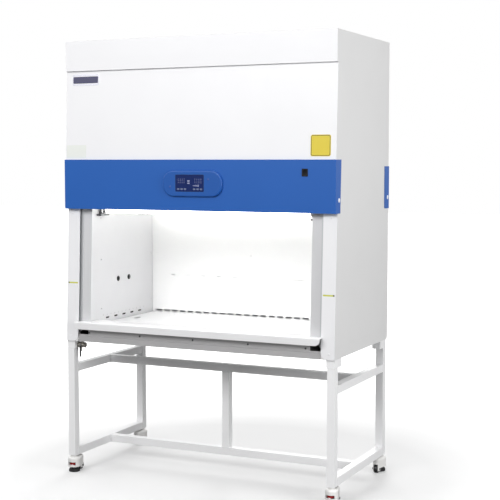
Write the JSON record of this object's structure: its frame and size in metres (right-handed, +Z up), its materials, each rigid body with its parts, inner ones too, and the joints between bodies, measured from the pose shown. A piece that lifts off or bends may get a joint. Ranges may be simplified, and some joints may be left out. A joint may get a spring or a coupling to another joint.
{
  "type": "biosafety cabinet",
  "caption": "Floor-standing biosafety cabinet with a sliding glass sash, stainless work chamber and tray, filters, blower and a tube stand on levelling casters.",
  "frame": {"origin": "centre of the footprint on the floor, under the middle of the bounding box", "axes": "+Z up, -Y towards the user, +X to the user's right"},
  "size_m": [1.524, 0.802, 2.25],
  "materials": {
    "white_paint": "white powder coat, satin",
    "side_paint": "pale grey powder coat, satin",
    "blue_paint": "blue powder coat, satin",
    "stainless": "brushed stainless sheet",
    "grey_steel": "dull stainless sheet",
    "aluminium": "satin anodised",
    "galvanised": "dull zinc coating",
    "glass": "clear toughened glass",
    "pod_blue": "blue moulding, matched to the band",
    "screen_navy": "dark display window",
    "key_light": "pale key",
    "black_plastic": "black moulding",
    "filter_paper": "pleated white media in its frame",
    "belt_rubber": "black belt",
    "motor_grey": "grey enamel",
    "tube_glass": "frosted lamp tube",
    "lamp_holder": "dark lamp holder",
    "brass": "dull plated brass",
    "lever_dark": "dark lever",
    "caster_white": "ivory casting",
    "wheel_black": "black nylon",
    "thumb_red": "red moulding",
    "foot_black": "black rubber pad"
  },
  "bodies": {
    "cabinet": {"stand_frames": "white_paint", "stand_beams": "white_paint", "base_frame": "white_paint", "drain_pan": "grey_steel", "side_panel_left": "side_paint", "side_panel_right": "side_paint", "rear_panel": "white_paint", "top_panel": "white_paint", "front_cap": "white_paint", "front_panel": "white_paint", "control_band": "blue_paint", "control_pod": "pod_blue", "display_screen": "screen_navy", "switch_bezel": "black_plastic", "rear_corner_trims": "blue_paint", "front_columns": "white_paint", "sash_guides": "aluminium", "inner_walls": "stainless", "rear_baffle": "stainless", "supply_diffuser": "stainless", "armrest": "stainless", "hepa_filters": "filter_paper", "plenum_box": "galvanised", "blower_housing": "galvanised", "sash_motor": "motor_grey", "drive_belts": "belt_rubber", "lamp_holders": "lamp_holder", "lamp_tubes": "tube_glass", "drain_valve": "brass", "power_inlet": "black_plastic"},
    "sash": {"sash_glass": "glass", "sash_rails": "aluminium"},
    "drive_shaft": {"drive_shaft": "stainless"},
    "idlers": {"idler_pulleys": "aluminium"},
    "rocker": {"switch_rocker": "black_plastic"},
    "tray": {"work_tray": "stainless"},
    "impeller": {"blower_impeller": "galvanised"},
    "lever": {"drain_lever": "lever_dark"},
    "key_1": {"key_1": "key_light"},
    "key_2": {"key_2": "key_light"},
    "key_3": {"key_3": "key_light"},
    "key_4": {"key_4": "key_light"},
    "key_5": {"key_5": "key_light"},
    "key_6": {"key_6": "key_light"},
    "caster_front_left": {"caster_front_left": "caster_white"},
    "wheel_front_left": {"wheel_front_left": "wheel_black"},
    "thumbwheel_front_left": {"thumbwheel_front_left": "thumb_red"},
    "foot_front_left": {"foot_front_left": "foot_black"},
    "caster_front_right": {"caster_front_right": "caster_white"},
    "wheel_front_right": {"wheel_front_right": "wheel_black"},
    "thumbwheel_front_right": {"thumbwheel_front_right": "thumb_red"},
    "foot_front_right": {"foot_front_right": "foot_black"},
    "caster_rear_left": {"caster_rear_left": "caster_white"},
    "wheel_rear_left": {"wheel_rear_left": "wheel_black"},
    "thumbwheel_rear_left": {"thumbwheel_rear_left": "thumb_red"},
    "foot_rear_left": {"foot_rear_left": "foot_black"},
    "caster_rear_right": {"caster_rear_right": "caster_white"},
    "wheel_rear_right": {"wheel_rear_right": "wheel_black"},
    "thumbwheel_rear_right": {"thumbwheel_rear_right": "thumb_red"},
    "foot_rear_right": {"foot_rear_right": "foot_black"}
  },
  "joints": [
    {"name": "sash_slide", "type": "slide", "parent": "cabinet", "child": "sash", "axis": [0, -0.0436, -0.999], "range_m": [0, 0.5848]},
    {"name": "drive_spin", "type": "hinge", "parent": "cabinet", "child": "drive_shaft", "pos_m": [0, -0.32049, 2.06824], "axis": [1, 0, 0], "range_deg": [-3045, 15]},
    {"name": "idler_spin", "type": "hinge", "parent": "cabinet", "child": "idlers", "pos_m": [0, -0.34923, 1.40986], "axis": [1, 0, 0], "range_deg": [-3045, 15]},
    {"name": "switch_rock", "type": "hinge", "parent": "cabinet", "child": "rocker", "pos_m": [0.596, -0.3685, 1.583], "axis": [-1, 0, 0], "range_deg": [0, 16]},
    {"name": "tray_lift", "type": "slide", "parent": "cabinet", "child": "tray", "axis": [0, 0, 1], "range_m": [0, 0.12]},
    {"name": "impeller_spin", "type": "hinge", "parent": "cabinet", "child": "impeller", "pos_m": [0, 0.0215, 1.8155], "axis": [1, 0, 0], "continuous": true},
    {"name": "drain_turn", "type": "hinge", "parent": "cabinet", "child": "lever", "pos_m": [-0.683, -0.332, 0.676], "axis": [0, -1, 0], "range_deg": [0, 90]},
    {"name": "press_1", "type": "slide", "parent": "cabinet", "child": "key_1", "axis": [0, 1, 0], "range_m": [0, 0.0005], "stiffness_N_per_m": 800},
    {"name": "press_2", "type": "slide", "parent": "cabinet", "child": "key_2", "axis": [0, 1, 0], "range_m": [0, 0.0005], "stiffness_N_per_m": 800},
    {"name": "press_3", "type": "slide", "parent": "cabinet", "child": "key_3", "axis": [0, 1, 0], "range_m": [0, 0.0005], "stiffness_N_per_m": 800},
    {"name": "press_4", "type": "slide", "parent": "cabinet", "child": "key_4", "axis": [0, 1, 0], "range_m": [0, 0.0005], "stiffness_N_per_m": 800},
    {"name": "press_5", "type": "slide", "parent": "cabinet", "child": "key_5", "axis": [0, 1, 0], "range_m": [0, 0.0005], "stiffness_N_per_m": 800},
    {"name": "press_6", "type": "slide", "parent": "cabinet", "child": "key_6", "axis": [0, 1, 0], "range_m": [0, 0.0005], "stiffness_N_per_m": 800},
    {"name": "swivel_front_left", "type": "hinge", "parent": "cabinet", "child": "caster_front_left", "pos_m": [-0.73, -0.344, 0.08], "axis": [0, 0, 1], "continuous": true},
    {"name": "roll_front_left", "type": "hinge", "parent": "caster_front_left", "child": "wheel_front_left", "pos_m": [-0.73, -0.291, 0.022], "axis": [1, 0, 0], "continuous": true},
    {"name": "level_front_left", "type": "hinge", "parent": "caster_front_left", "child": "thumbwheel_front_left", "pos_m": [-0.73, -0.344, 0.045], "axis": [0, 0, 1], "range_deg": [-1438, 1150]},
    {"name": "foot_slide_front_left", "type": "slide", "parent": "caster_front_left", "child": "foot_front_left", "axis": [0, 0, 1], "range_m": [-0.008, 0.01]},
    {"name": "swivel_front_right", "type": "hinge", "parent": "cabinet", "child": "caster_front_right", "pos_m": [0.73, -0.344, 0.08], "axis": [0, 0, 1], "continuous": true},
    {"name": "roll_front_right", "type": "hinge", "parent": "caster_front_right", "child": "wheel_front_right", "pos_m": [0.73, -0.291, 0.022], "axis": [1, 0, 0], "continuous": true},
    {"name": "level_front_right", "type": "hinge", "parent": "caster_front_right", "child": "thumbwheel_front_right", "pos_m": [0.73, -0.344, 0.045], "axis": [0, 0, 1], "range_deg": [-1438, 1150]},
    {"name": "foot_slide_front_right", "type": "slide", "parent": "caster_front_right", "child": "foot_front_right", "axis": [0, 0, 1], "range_m": [-0.008, 0.01]},
    {"name": "swivel_rear_left", "type": "hinge", "parent": "cabinet", "child": "caster_rear_left", "pos_m": [-0.73, 0.356, 0.08], "axis": [0, 0, 1], "continuous": true},
    {"name": "roll_rear_left", "type": "hinge", "parent": "caster_rear_left", "child": "wheel_rear_left", "pos_m": [-0.73, 0.303, 0.022], "axis": [1, 0, 0], "continuous": true},
    {"name": "level_rear_left", "type": "hinge", "parent": "caster_rear_left", "child": "thumbwheel_rear_left", "pos_m": [-0.73, 0.356, 0.045], "axis": [0, 0, 1], "range_deg": [-1438, 1150]},
    {"name": "foot_slide_rear_left", "type": "slide", "parent": "caster_rear_left", "child": "foot_rear_left", "axis": [0, 0, 1], "range_m": [-0.008, 0.01]},
    {"name": "swivel_rear_right", "type": "hinge", "parent": "cabinet", "child": "caster_rear_right", "pos_m": [0.73, 0.356, 0.08], "axis": [0, 0, 1], "continuous": true},
    {"name": "roll_rear_right", "type": "hinge", "parent": "caster_rear_right", "child": "wheel_rear_right", "pos_m": [0.73, 0.303, 0.022], "axis": [1, 0, 0], "continuous": true},
    {"name": "level_rear_right", "type": "hinge", "parent": "caster_rear_right", "child": "thumbwheel_rear_right", "pos_m": [0.73, 0.356, 0.045], "axis": [0, 0, 1], "range_deg": [-1438, 1150]},
    {"name": "foot_slide_rear_right", "type": "slide", "parent": "caster_rear_right", "child": "foot_rear_right", "axis": [0, 0, 1], "range_m": [-0.008, 0.01]}
  ],
  "couplings": [
    {"joint": "drive_spin", "follows": "sash_slide", "rad_per_m": -90.498},
    {"joint": "idler_spin", "follows": "sash_slide", "rad_per_m": -90.498},
    {"joint": "foot_slide_front_left", "follows": "level_front_left", "m_per_rad": -0.00039789},
    {"joint": "foot_slide_front_right", "follows": "level_front_right", "m_per_rad": -0.00039789},
    {"joint": "foot_slide_rear_left", "follows": "level_rear_left", "m_per_rad": -0.00039789},
    {"joint": "foot_slide_rear_right", "follows": "level_rear_right", "m_per_rad": -0.00039789}
  ]
}
